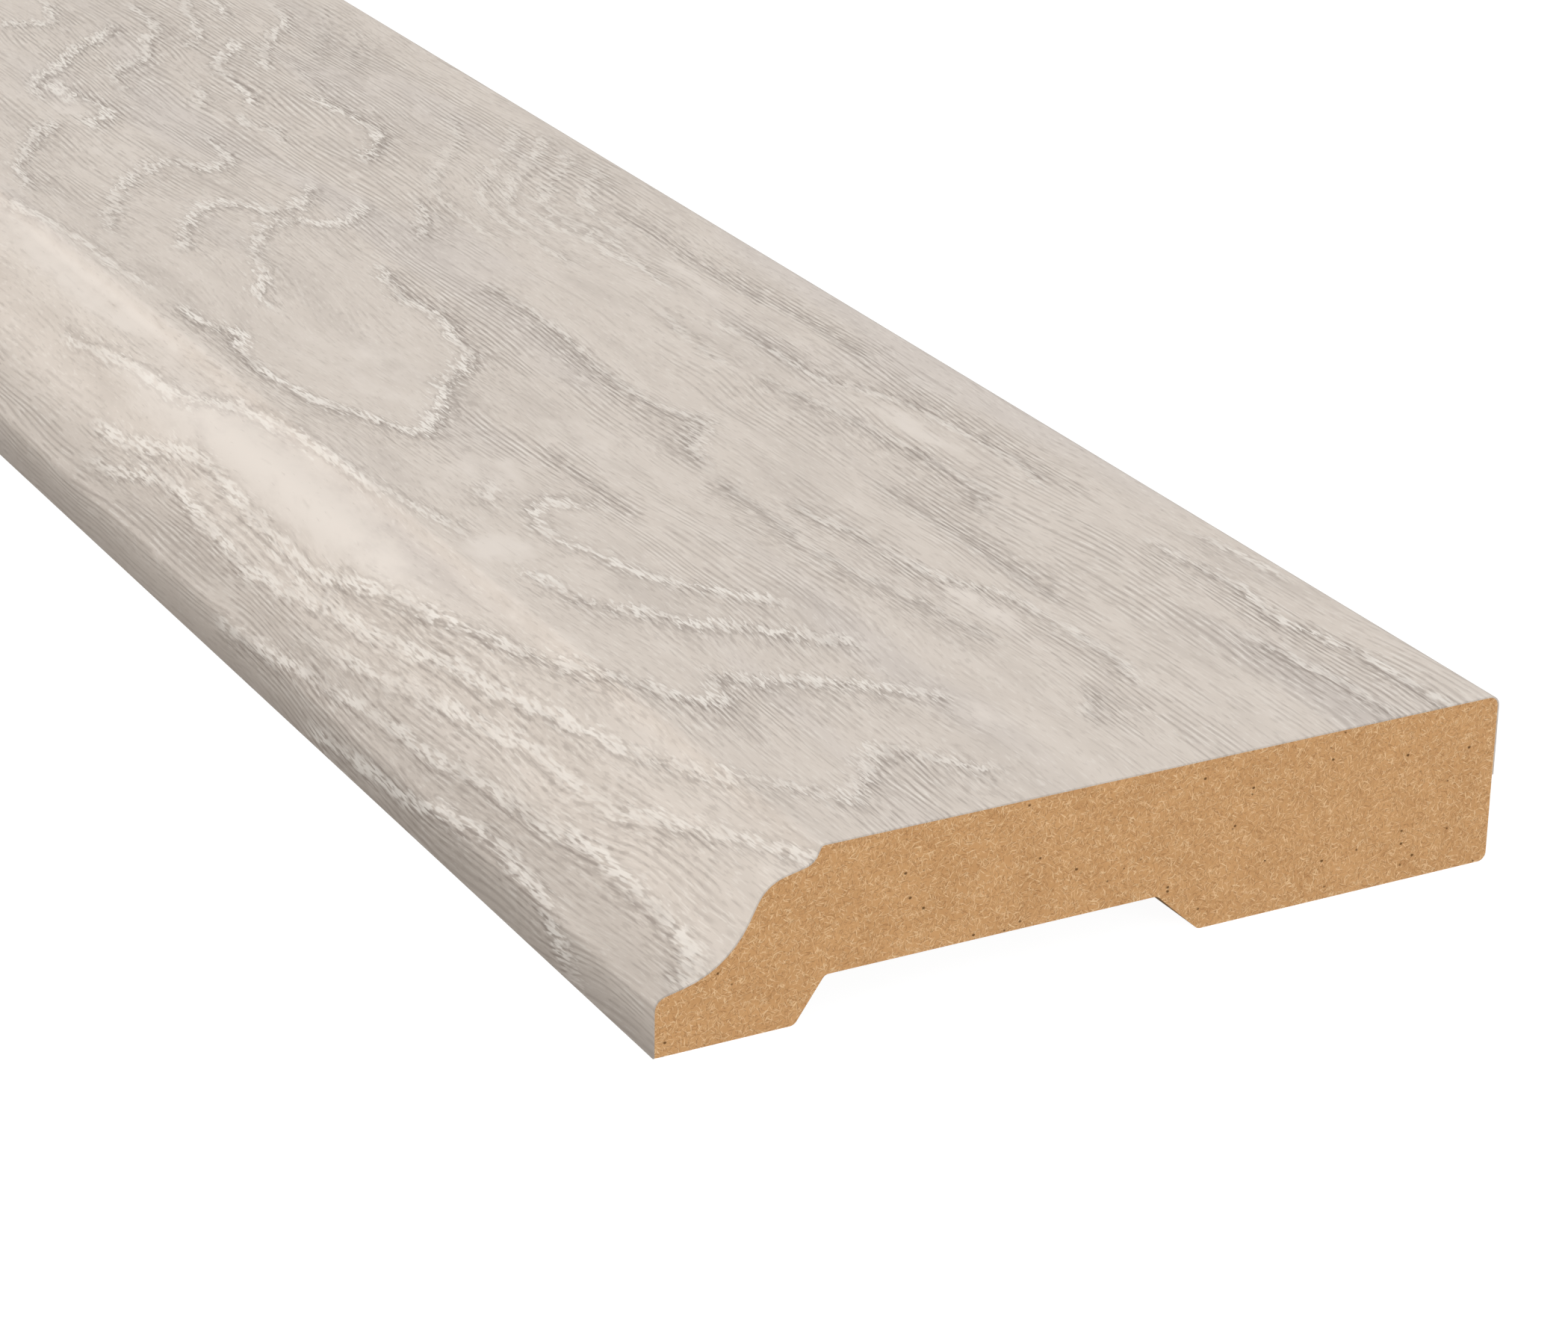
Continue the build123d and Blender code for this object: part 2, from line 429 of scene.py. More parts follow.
# The print's veins near the sawn end that shows, drawn one by one. Each one has its paleness, the weight of
# the grey strokes beside it, which lie to the left of its course if positive and to the right if negative,
# and the points it passes: along the board from that end and across the grain, in millimetres.
VEINS_MM = (
    # The far part of the face
    (0.9, 0.5, [(-251, 32), (-241, 30), (-237, 27), (-234, 25), (-229, 22), (-224, 20), (-219, 19)]),
    (1.0, 0.5, [(-256, 26), (-248, 24.6), (-243, 23)]),
    (0.8, 0.4, [(-258, 24), (-251, 20.6), (-246, 19.6), (-241, 18), (-237, 16.4), (-235, 13)]),
    (1.0, 0.5, [
        (-237, 22), (-232, 19.6), (-230, 17), (-227, 14.6), (-223, 14), (-216, 13.5), (-212, 13),
        (-206, 11),
    ]),
    (0.7, 0.7, [
        (-259, 15), (-248, 14.6), (-243, 13), (-239, 10), (-235, 9), (-232, 6.5), (-229, 2.4), (-225, 1),
        (-217, 0),
    ]),
    (1.0, 0.6, [
        (-252, 10), (-247, 9), (-244, 6), (-241, 3), (-239, 0), (-235, -2), (-232, -5), (-229, -8),
        (-222, -9),
    ]),
    (0.9, 0.6, [(-264, 6.5), (-257, 4.6), (-254, 4), (-253, 2.4), (-254, 0), (-255, -4)]),
    (1.0, 0.9, [
        (-212, 18.5), (-205, 20), (-200, 20.6), (-193, 21), (-189, 19.5), (-186, 16.7), (-181, 14),
    ]),
    (0.7, 0.3, [(-223, 10), (-215, 8), (-211, 5.8), (-207, 5)]),
    (0.9, 0.4, [(-208, 9.6), (-201, 8.5), (-198, 10.3), (-191, 8.6)]),
    (1.0, 0.5, [
        (-232, -4.5), (-225, -5.4), (-219, -4.7), (-215, -4), (-212, -5.4), (-210, -8.3), (-204, -7),
    ]),
    (0.9, 0.6, [
        (-213, -10), (-210, -14.5), (-207, -16), (-203, -19), (-198, -21.5), (-192, -22.6), (-188, -24.5),
    ]),
    (0.8, 0.5, [
        (-203, 2), (-193, 2), (-190, 1), (-188, -1), (-189, -3.3), (-192, -4), (-192.4, -6), (-190.6, -9),
        (-187, -12.6), (-183, -15.4), (-179, -17), (-176, -19), (-168, -21),
    ]),
    (0.9, 0.6, [
        (-180, 7), (-174, 4), (-171, 1.4), (-170.6, -2), (-175, -5), (-175, -8), (-170, -12), (-166, -14),
        (-161, -17),
    ]),
    (0.9, 0.5, [
        (-172, 10), (-166, 6.7), (-163.5, 4), (-164, 1), (-167, -0.5), (-166, -4), (-162, -7), (-159, -9),
        (-153, -10.4), (-149, -12), (-144, -14.4), (-137, -14),
    ]),
    (0.7, 0.8, [(-170, 15), (-162, 13), (-158, 10.6), (-153, 8)]),
    (1.0, 0.5, [(-231, -6), (-226, -7), (-220, -6.6), (-217, -5.5)]),
    (0.9, 0.5, [(-229, -9), (-224, -9.6), (-219, -9.2)]),
    (0.25, 0.6, [(-248, 36.5), (-240, 35), (-232, 31), (-226, 27.5), (-219, 25)]),
    (0.2, 0.6, [(-236, 37), (-228, 34), (-222, 30.5), (-214, 27.5)]),
    (0.2, 0.6, [(-228, 24.5), (-220, 22.6), (-214, 22), (-206, 24.5)]),
    # The bundle of bent lines beside the far top edge
    (0.5, 0.4, [(-198, 32), (-188, 29), (-180, 24), (-174, 19.5), (-167, 17), (-156, 16.4), (-146, 16.8)]),
    (0.55, 0.4, [
        (-190, 38), (-181, 33), (-174, 27.5), (-168, 23), (-161, 20.4), (-150, 19.6), (-136, 20.6),
    ]),
    (0.6, 0.4, [(-184, 39), (-176, 33.5), (-170, 28), (-163, 23.6), (-156, 21.9), (-146, 22.2)]),
    (0.6, 0.4, [(-178, 39.5), (-171, 34.5), (-165, 29.5), (-159, 26.5), (-150, 27.5), (-138, 28.6)]),
    (0.5, 0.4, [(-171, 39.5), (-165, 35.5), (-160, 32), (-153, 30), (-142, 30.4)]),
    # The loop in the middle of the face
    (1.0, 0.9, [
        (-150, 2), (-141, -0.4), (-136, -1), (-130, 0.2), (-123, -1.5), (-118, -2), (-113.6, -5.4),
        (-110.7, -8.3), (-106.4, -10.4), (-103, -13), (-100, -15.4), (-103, -17.6), (-107, -19),
        (-111, -21), (-116, -22), (-121, -22.6), (-125, -23), (-131, -22), (-134, -20.4), (-139, -22.8),
        (-148, -22.5),
    ]),
    (0.6, -0.9, [
        (-140, 9), (-126, 9.6), (-117, 9.2), (-107, 8), (-96, 8.5), (-92, 10.3), (-90.4, 11.4), (-88, 9.2),
        (-85, 6.7), (-76, 4),
    ]),
    # The upper part of the face
    (0.6, 0.5, [(-160, 24), (-151, 24.2), (-146, 25.6), (-140, 25.3), (-135, 26.4), (-125, 25.5)]),
    (0.6, 0.7, [
        (-118, 25), (-106, 26.4), (-96, 26.7), (-91, 29), (-84, 31.4), (-76, 32), (-66, 32.4), (-58, 30.5),
    ]),
    (0.2, 0.9, [(-159, 32.5), (-145, 32), (-128, 31.8), (-112, 33.6), (-95, 33.4)]),
    (0.4, -0.9, [
        (-102, 21.4), (-92, 23), (-85, 24), (-78, 25), (-69, 25.6), (-61.4, 26.4), (-59, 24.2), (-54, 22),
    ]),
    (0.4, 0.4, [(-124, 22), (-110, 20.3), (-98, 20.6)]),
    (0.7, -0.4, [(-46, 37), (-37, 39), (-27, 39.8)]),
    (0.9, -0.8, [
        (-46, 32.8), (-34, 34.2), (-29, 34.2), (-22, 33.5), (-18, 34.6), (-13.6, 35.6), (-8, 35.6),
        (4, 36.4),
    ]),
    (0.8, -0.8, [(-24, 28.6), (-13.6, 29.6), (-7, 30.6), (4, 30.3)]),
    (0.3, 0.8, [(-70, 16.5), (-60, 17), (-46, 17.4), (-32, 17.8)]),
    (0.6, -0.8, [
        (-70, 8), (-63, 8), (-58, 9.6), (-52, 10), (-47, 10.6), (-43.6, 11.7), (-39, 14), (-34, 15),
        (-28, 15.3), (-21, 15.6), (-13, 13.6),
    ]),
    (0.4, -1.0, [(-78, 4), (-66, 4.6), (-58, 4), (-51, 4.6), (-44, 6), (-36, 7.4), (-27, 8.8)]),
    (0.4, 0.8, [(-21, 10.5), (-15, 8.5), (-10, 5)]),
    (0.1, -0.9, [(-92, -5.5), (-82, -6.4), (-67, -6.2)]),
    # The arcs that lead down to the moulded edge
    (0.9, -0.4, [
        (-72, -8), (-76.8, -12), (-76.4, -14.4), (-73, -16), (-69, -16.5), (-65, -15), (-61, -14),
        (-56, -12.2), (-52, -9.4), (-48.6, -7), (-44, -3.5),
    ]),
    (0.6, -0.5, [(-85, -13.8), (-81, -17.6), (-74, -17.8)]),
    (0.9, -0.7, [
        (-65, -23.5), (-60, -21.5), (-55, -21), (-51.4, -19), (-50, -17.2), (-45.7, -14.7), (-43.6, -11.5),
        (-40, -8.3), (-37, -5.4), (-33, -2),
    ]),
    (0.85, -0.8, [
        (-88, -37.4), (-78.6, -34.7), (-70.7, -33.3), (-63.6, -32.2), (-58, -31), (-50, -29.4),
        (-43, -27.2), (-37, -25.4), (-33, -23.6), (-30, -22), (-29.3, -19.7), (-34, -17.9), (-31.4, -15.4),
        (-30, -12), (-28, -9), (-24.3, -5.4), (-20, -0.5),
    ]),
    (0.7, -0.6, [
        (-99, -40.8), (-88.6, -39.7), (-80, -38.3), (-72, -37.6), (-63.6, -36), (-56.4, -34.7), (-48, -34),
        (-38.6, -32.2), (-29.3, -30.8), (-23, -29), (-17, -27), (-13, -24.7), (-10, -22.2), (-7, -20.4),
        (-8.6, -17.6), (-12, -15), (-14.3, -13), (-12, -10.4), (-8.6, -8.3), (-5, -4.5),
    ]),
    (0.65, -0.6, [
        (-83, -42.6), (-72, -40.8), (-63.6, -39.7), (-56.4, -38.3), (-48, -37.2), (-39, -35.8),
        (-32, -35.8), (-24, -35.4), (-18, -33.6), (-12, -31.9), (-7, -29.7), (4, -26),
    ]),
    (0.75, -0.8, [
        (-94, -47.4), (-80.7, -45.8), (-70.7, -44.4), (-63.6, -43.6), (-56.4, -42.6), (-49, -42.2),
        (-42, -41), (-33.6, -40.4), (-25.7, -39.4), (-19, -39), (-12, -39.4), (-5.7, -39.7), (-1.4, -41),
        (0.5, -45),
    ]),
    (0.9, -0.7, [
        (-72, -49.8), (-56.4, -47.9), (-49, -47.6), (-44, -46.5), (-39, -45.4), (-33, -44.4),
        (-25.7, -44.7), (-20.7, -45.4), (-18, -47), (-12, -51),
    ]),
    # Along the cream tongues
    (0.7, 0.3, [(-192, -27.4), (-183, -26), (-176, -25), (-169, -24.4), (-159, -24.4), (-149, -23)]),
    (0.8, 0.3, [
        (-157, -35), (-145, -33.3), (-140, -32.6), (-131, -32.2), (-125, -31.5), (-121, -29.7),
        (-118, -28.3), (-112, -27.6), (-106, -26.7), (-99, -26.5), (-91, -26), (-84, -25), (-76, -23.6),
        (-70, -23.6),
    ]),
    (0.8, -0.5, [
        (-140, -40), (-129, -38.6), (-123.6, -37), (-118.6, -35.4), (-113, -35), (-105, -35.8),
        (-99, -36.3), (-91, -36.5), (-82, -36.5),
    ]),
    (0.8, -0.5, [
        (-135, -43), (-127, -42.2), (-122, -39.7), (-115, -39), (-110, -39.7), (-101, -40), (-90, -41.5),
    ]),
)
COURSE_STEPS = 6
VEIN_STRETCH = 2.2
VEIN_REACH_MM = 9.0
VEIN_TAPER_MM = 2.5
VEIN_FADE_MM = 2.0
FAR_OFF_MM = 1000.0

# The grey strokes reach far on one side of a vein, and little on the other, where fewer lie
GREY_REACH_MM = 2.4
GREY_BACK_REACH_MM = 0.6
GREY_BACK_SHARE = 0.4

# Calm places of the print, where it is a smooth cream: along, across, half length, half width and weight
CALM_MM = (
    (-100, -31.4, 30, 4.0, 1.0),
    (-127, -33.6, 16, 2.6, 0.9),
    (-160, -28.4, 32, 2.6, 0.9),
    (-140, -26.5, 24, 2.0, 0.6),
    (-118, -13, 16, 6.5, 0.55),
    (-90, -2, 9, 4.5, 0.6),
    (-87, -16, 6, 6, 0.6),
    (-69, -22, 4, 4, 0.9),
    (-37, 11, 8, 1.6, 0.8),
    (-80, 28.4, 14, 1.6, 0.75),
    (-135, 29.5, 18, 1.5, 0.65),
    (-197, -8, 6, 6, 0.5),
    (-216, -9, 4, 4, 0.6),
    (-55, -26, 14, 2.5, 0.5),
    (-18, -2, 6, 5, 0.45),
    (-180, 25, 9, 4, 0.5),
)

# Places where the print is closely lined, given in the same way
LINED_MM = (
    (-225, 20, 50, 16, 0.9),
    (-235, 2, 20, 8, 0.8),
    (-215, 5, 45, 24, 0.8),
    (-205, 32, 30, 8, 0.9),
    (-170, 34, 16, 6, 0.8),
    (-185, 12, 36, 7, 0.8),
    (-125, 4.5, 34, 4.5, 1.0),
    (-93, -9, 9, 3, 1.0),
    (-80, -6, 14, 2, 0.8),
    (-120, 34, 40, 2.5, 0.7),
    (-60, 18, 26, 3, 0.7),
    (-45, 26, 34, 5, 0.8),
    (-12, 33, 20, 6, 0.9),
    (-8, 18, 12, 10, 0.6),
    (-5, -16, 7, 6, 0.8),
    (-24, -18, 5, 6, 0.8),
    (-55, -5, 24, 6, 0.6),
    (-85, 34, 30, 3, 1.0),
    (-60, 28, 60, 3, 0.8),
    (-50, 20, 44, 3, 0.8),
    (-40, 11, 36, 3, 0.7),
    (-95, 15, 26, 4, 0.4),
    (-45, -40, 60, 7, 0.35),
    (-120, -45, 100, 5, 0.9),
    (-45, -47.5, 60, 3.5, 1.0),
    (-190, -17, 14, 6, 0.6),
)

# The soft edge of a calm or lined place: where it ends and how much of it fades, as shares of its half size
PATCH_END = 1.7
PATCH_FADE = 1.4

# Further along, the veins lie round islands at a steady pitch. Waves are given by their height and by the
# length of one radian.
ISLAND_PLACE_MM = -550.0
ISLAND_PITCH_MM = 420.0
ISLAND_DEPTH = 6.2
ISLAND_WIDTH_MM = 9.0
ISLAND_AXIS_MM = -4.0
ISLAND_SWING_MM = 9.0
ISLAND_DRIFT_MM = 8.0
ISLAND_DRIFT_LENGTH_MM = 170.0
RING_WAVER = 0.5
RING_WAVER_LENGTH_MM = 61.0
UPPER_STEEPNESS = 2.0
LEAST_SLOPE = 0.04
LENGTHWISE_FROM = 0.6
LENGTHWISE_GAIN = 3.0
WAXING_LENGTH_MM = 37.0
WAXING_SHIFT = 2.1
ISLAND_GREY = 0.8
DRAWN_END_MM = -262.0
DRAWN_FADE_MM = 40.0


def eased(share):
    """A smooth step from 0 to 1."""
    share = np.clip(share, 0, 1)
    return share * share * (3 - 2 * share)


def smooth_course(points):
    """Closely spaced places on a smooth line through points."""
    ends = np.array([points[0], *points, points[-1]], dtype=float)
    share = (np.arange(COURSE_STEPS) / COURSE_STEPS)[:, None]
    course = []
    for before, start, stop, after in zip(ends, ends[1:], ends[2:], ends[3:]):
        bow = 2 * before - 5 * start + 4 * stop - after
        twist = 3 * (start - stop) + after - before
        course.append(start + ((stop - before) * share + bow * share**2 + twist * share**3) / 2)
    return np.vstack([*course, ends[-1:]])


class Vein:
    """One drawn vein, measured with the length pressed together: it is broader where it crosses the grain."""

    def __init__(self, paleness, grey, points):
        self.paleness = paleness
        self.grey = abs(grey)
        self.side = math.copysign(1, grey)
        self.course = smooth_course(points) / (VEIN_STRETCH, 1)

    def near(self, places):
        """The numbers of the places that the vein can reach."""
        low = self.course.min(axis=0) - VEIN_REACH_MM
        high = self.course.max(axis=0) + VEIN_REACH_MM
        return np.flatnonzero(((places > low) & (places < high)).all(axis=1))

    def measure(self, places):
        """For each place its distance from the vein, positive on the grey side, and two shares.

        The first share falls to 0 at the vein's ends. The second is 1 where the vein crosses the grain."""
        steps = np.diff(self.course, axis=0)
        lengths = np.hypot(*steps.T)
        offsets = places[:, None] - self.course[:-1]
        shares = np.clip((offsets * steps).sum(axis=2) / lengths**2, 0, 1)
        gaps = offsets - shares[..., None] * steps
        distances = np.hypot(gaps[..., 0], gaps[..., 1])
        rows = np.arange(len(places))
        nearest = distances.argmin(axis=1)
        step, offset = steps[nearest], offsets[rows, nearest]
        left = np.sign(step[:, 0] * offset[:, 1] - step[:, 1] * offset[:, 0])
        walked_by = np.r_[0, np.cumsum(lengths)]
        walked_to = walked_by[nearest] + shares[rows, nearest] * lengths[nearest]
        to_end = np.minimum(walked_to, walked_by[-1] - walked_to)
        crossing = np.abs(step[:, 1]) / lengths[nearest]
        return self.side * left * distances[rows, nearest], eased(to_end / VEIN_TAPER_MM), crossing


def vein_gap(first, second):
    """The smallest distance between two veins."""
    return np.abs(first.measure(second.course)[0]).min()


def two_sets(veins):
    """The veins in two sets with neighbours apart: each goes where the nearest vein is further off."""
    sets = [veins[:1], []]
    for vein in veins[1:]:
        gaps = [min([vein_gap(vein, other) for other in those], default=FAR_OFF_MM) for those in sets]
        sets[int(gaps[1] > gaps[0])].append(vein)
    return sets


def vein_fade(distance):
    """The share of a vein that is left at a distance from it."""
    return eased(VEIN_FADE_MM - np.abs(distance))


def grey_fade(distance):
    """The share of the grey strokes at a distance from a vein: most of them lie on its positive side."""
    ahead = np.exp(-distance / GREY_REACH_MM)
    behind = GREY_BACK_SHARE * np.exp(distance / GREY_BACK_REACH_MM)
    return np.where(distance > 0, ahead, behind)


class DrawnPrint:
    """What the drawn veins give at places along and across the print.

    There are two sets of veins, each with the distance from its nearest vein and that vein's paleness. grey
    is the weight of the grey strokes, and crossing tells how squarely the nearest vein crosses the grain."""

    def __init__(self, along, across):
        self.places = np.c_[along / VEIN_STRETCH, across]
        count = len(along)
        self.grey = np.zeros(count)
        self.crossing = np.zeros(count)
        self.nearest = np.full(count, VEIN_REACH_MM)
        self.sets = [self.draw(veins) for veins in two_sets([Vein(*drawing) for drawing in VEINS_MM])]

    def draw(self, veins):
        """The distance from the nearest of these veins and its paleness. It adds to grey and crossing."""
        distance = np.full(len(self.places), VEIN_REACH_MM)
        paleness = np.zeros(len(self.places))
        for vein in veins:
            near = vein.near(self.places)
            if not len(near):
                continue
            offset, present, crossing = vein.measure(self.places[near])
            away = np.abs(offset)
            self.grey[near] = np.maximum(self.grey[near], vein.grey * present * grey_fade(offset))
            closest = away < self.nearest[near]
            self.crossing[near[closest]] = crossing[closest]
            self.nearest[near[closest]] = away[closest]
            closer = away < np.abs(distance[near])
            distance[near[closer]] = offset[closer]
            paleness[near[closer]] = (vein.paleness * present * vein_fade(offset))[closer]
        return distance, paleness


def island_rings(along, across):
    """The number of the growth ring further along the board, with fractions between two rings."""
    turn = (along - ISLAND_PLACE_MM) * math.pi / ISLAND_PITCH_MM
    drift = ISLAND_DRIFT_MM * np.sin(along / ISLAND_DRIFT_LENGTH_MM)
    axis = ISLAND_AXIS_MM - ISLAND_SWING_MM * np.cos(2 * turn) + drift
    offset = across - axis
    side = np.maximum(offset, 0) * UPPER_STEEPNESS + np.minimum(offset, 0)
    waver = RING_WAVER * np.sin(along / RING_WAVER_LENGTH_MM)
    return np.hypot(ISLAND_DEPTH * np.sin(turn), side / ISLAND_WIDTH_MM) + waver


def island_veins(along, across):
    """Distance, paleness and grey strokes on the rest of the board. Veins end before they cross the grain."""
    rings = island_rings(along, across)
    slope_along = VEIN_STRETCH * (island_rings(along + 0.5, across) - island_rings(along - 0.5, across))
    slope_across = island_rings(along, across + 0.5) - island_rings(along, across - 0.5)
    slope = np.maximum(np.hypot(slope_along, slope_across), LEAST_SLOPE)
    number = np.round(rings)
    distance = (rings - number) / slope
    lengthwise = eased((np.abs(slope_across) / slope - LENGTHWISE_FROM) * LENGTHWISE_GAIN)
    waxing = (1 + np.sin(along / WAXING_LENGTH_MM + WAXING_SHIFT * number)) / 2
    share = eased((DRAWN_END_MM - along) / DRAWN_FADE_MM)
    paleness = share * lengthwise * waxing * vein_fade(distance)
    return distance, paleness, share * ISLAND_GREY * grey_fade(distance)


def marked(along, across, patches):
    """The share of soft patches at each place."""
    share = np.zeros(len(along))
    for middle, height, half_length, half_width, weight in patches:
        reach = np.hypot((along - middle) / half_length, (across - height) / half_width)
        share = np.maximum(share, weight * eased((PATCH_END - reach) / PATCH_FADE))
    return share


BASE_TONE = linear(212, 201, 190)
CREAM_TONE = linear(223, 213, 203)
COOL_TONE = linear(206, 197, 191)
LIME_TONE = linear(235, 228, 219)
PORE_TONE = linear(158, 147, 138)
# The grey of the moulded edge's foot: partly the print's tone and partly painted shade
FOOT_PRINT_AND_SHADE_TONE = linear(130, 120, 111)

# The print's thin lines, and the rims of its veins: where a rim is full and where it ends, off the vein
LINE_PITCH_MM = 0.66
OUTER_RIM_MM = (0.2, 0.8)
INNER_RIM_MM = (0.1, 0.4)
INNER_SHARE = 0.7

# Across the grain: where the veins grow broader on the moulded edge, and the two steps to its greyer foot,
# which is partly the print's tone and partly painted shade
BROADER_MM = (-30.0, -38.0)
COVE_MM = (-36.5, -44.0)
NOSE_MM = (-46.0, -51.0)

# Along the board from its middle: how one bolder stretch of the print fades in and out
BOLD_START_MM = (-340, -270)
BOLD_END_MM = (-165, -215)

OAK_RELIEF = 0.02 * MM
OAK_SHINE = 0.3


class Vines:
    """The pale strokes of one set of veins, and the thin dark lines on either side of them."""

    def __init__(self, distance, paleness, tear, breadth):
        place = distance + tear
        back = breadth * -1
        self.paleness = paleness
        self.band = place.rise(back, breadth * -0.4) * place.rise(breadth, breadth * 0.4)
        full, end = OUTER_RIM_MM
        self.outer = place.rise(breadth * 0.5, breadth) * place.rise(breadth + end, breadth + full)
        full, end = INNER_RIM_MM
        self.inner = place.rise(breadth * -0.5, back) * place.rise(back - end, back - full)

    def lime(self):
        """The pale strokes."""
        return self.band * self.paleness

    def rims(self):
        """The dark lines."""
        return (self.outer + self.inner * INNER_SHARE) * self.paleness


class OakPrint:
    """The limed-oak print: pale torn veins, grey strokes beside them and calm wood between."""

    def __init__(self):
        paint = Paint("limed_oak_laminate")
        along, across = paint.grain()
        grey, calm = paint.map("Wood")
        crossing, lined = paint.map("Lines")

        # The grain sways a little: every stroke of the print follows this
        sway = (paint.noise(along / 60, across / 24, 1.3) - 0.5) * 8
        ripple = (paint.noise(along / 24, across / 9, 4.1) - 0.5) * 2.2
        fray = paint.noise(along / 6, across / 2.4, 51.0, detail=3.0, roughness=0.6) - 0.5
        self.paint = paint
        self.along = along
        self.across = across
        self.flow = across + sway + ripple
        self.grey = grey
        self.crossing = crossing
        self.lined = lined
        self.calm = (calm + fray * 1.5).rise(0.25, 1.0)
        self.busy = self.calm * -1 + 1
        self.bold = along.rise(*BOLD_END_MM) * along.rise(*BOLD_START_MM)

    def streaks(self, length, width, seed, **quality):
        """Noise that follows the grain, with spots of about this length and width in millimetres."""
        return self.paint.noise(self.along / length, self.flow / width, seed, **quality)

    def veins(self):
        """The pale of the veins and the dark of their rims.

        The veins are torn into short strokes along the grain, most of all where they cross it."""
        tear = self.streaks(2.6, 0.45, 2.9, detail=2.0, roughness=0.6) - 0.5
        tear = tear * (self.crossing * 3.2 + 1.0)
        breadth = self.streaks(5, 2.5, 16.0).rise(0.32, 0.68) * 0.7 + 0.25
        breadth = breadth + self.bold * 0.45 + self.across.rise(*BROADER_MM) * 0.35
        first = Vines(*self.paint.map("Veins"), tear, breadth)
        second = Vines(*self.paint.map("Others"), tear, breadth)
        flakes = self.streaks(1.8, 0.32, 13.0).rise(0.38, 0.54)
        waxing = self.streaks(8, 4, 18.0).rise(0.34, 0.58) * 0.5 + 0.5
        stray = flakes * self.streaks(2.2, 0.3, 19.0).rise(0.58, 0.66)
        stray = stray * largest(first.paleness, second.paleness) * 0.7
        pale = largest(first.lime(), second.lime()) * flakes * waxing
        return largest(pale, stray), largest(first.rims(), second.rims())

    def lines(self):
        """Thin dark lines at a pitch, broken up, and the pale ones between them.

        There are many in the lined places and few elsewhere."""
        patch = self.streaks(20, 4, 41.0, detail=2.0).rise(0.36, 0.64)
        dense = self.grey * 0.6 + self.lined * 0.4 + patch * (self.lined * 0.4 + 0.3) + 0.04
        dense = dense.capped() * self.busy
        turn = self.flow / LINE_PITCH_MM + self.streaks(24, 3.5, 21.0) * 3
        number = turn.math("FLOOR")
        off_line = (turn.math("FRACT") - 0.5).math("ABSOLUTE")
        limit = dense * -0.28 + 0.58 - self.bold * 0.05
        unbroken = self.paint.noise(self.along / 6, number * 3.1, 22.0, detail=2.0).rise(limit, limit + 0.08)
        weight = (dense * 0.36 + self.lined * 0.12 + 0.09) * (self.bold * 0.7 + 1)
        dark = off_line.rise(0.3, 0.06) * unbroken * weight
        limed = self.paint.noise(self.along / 3, number * 5.7, 27.0).rise(0.52, 0.62)
        pale = off_line.rise(0.26, 0.42) * limed * dense * 0.65
        return dark, pale

    def strokes(self):
        """Short grey strokes, most of them close to the veins, and pale glints between them."""
        fibre = self.streaks(1.9, 0.27, 25.0)
        limit = self.grey * 0.28 + self.busy * 0.1 + 0.26
        dark = fibre.rise(limit + 0.05, limit - 0.05) * (self.grey * 0.3 + 0.2)
        pale = fibre.rise(0.6, 0.7) * self.busy * 0.3
        return dark, pale

    def wood(self):
        """The tone of the wood between: clouds, cream places and a few cooler ones."""
        cloud = self.streaks(11, 2.5, 35.0, detail=4.0, roughness=0.6)
        cool = self.streaks(60, 12, 37.0).rise(0.52, 0.7) * 0.4
        cream = largest(cloud.rise(0.48, 0.72) * 0.38, self.calm)
        shade = self.streaks(30, 6, 39.0, detail=2.0).rise(0.5, 0.34) * 0.16 + self.grey * 0.16
        shade = (cloud.rise(0.54, 0.32) * 0.1 + shade) * self.busy
        tone = self.paint.mix(cool, BASE_TONE, COOL_TONE)
        tone = self.paint.mix(cream, tone, CREAM_TONE)
        return self.paint.mix(shade, tone, PORE_TONE)

    def material(self):
        """The whole print, with a greyer foot under the moulded edge that is partly the print's tone and
        partly painted shade.
        """
        lime, rims = self.veins()
        dark_lines, pale_lines = self.lines()
        strokes, glints = self.strokes()
        pores = (dark_lines + strokes + rims * (self.bold * 0.2 + 0.34)).capped()
        # The foot: the print darker under the cove and again at the nose, partly its own tone and partly
        # painted shade
        foot = self.across.rise(*COVE_MM) * 0.27 + self.across.rise(*NOSE_MM) * 0.34
        tone = self.paint.mix(pores, self.wood(), PORE_TONE)
        tone = self.paint.mix(largest(lime, pale_lines, glints), tone, LIME_TONE)
        tone = self.paint.mix(foot * (lime * -0.5 + 1), tone, FOOT_PRINT_AND_SHADE_TONE)
        height = pores * -0.6 + lime * 0.4 + 0.5
        roughness = pores * 0.15 + 0.45
        return self.paint.finish(tone, roughness, height, OAK_RELIEF, OAK_SHINE)


MDF_TONE = linear(214, 164, 112)
# The pale and dark fibre tones: partly the fibres' own colour and partly painted highlight and shade of their
# relief
MDF_PALE_AND_LIT = linear(246, 210, 163)
MDF_DARK_AND_SHADED = linear(160, 110, 62)
MDF_SPECK = linear(116, 80, 44)
MDF_RELIEF = 0.03 * MM
MDF_SHINE = 0.2
FIBRE_ANGLES = (12, 57, 102, 147)


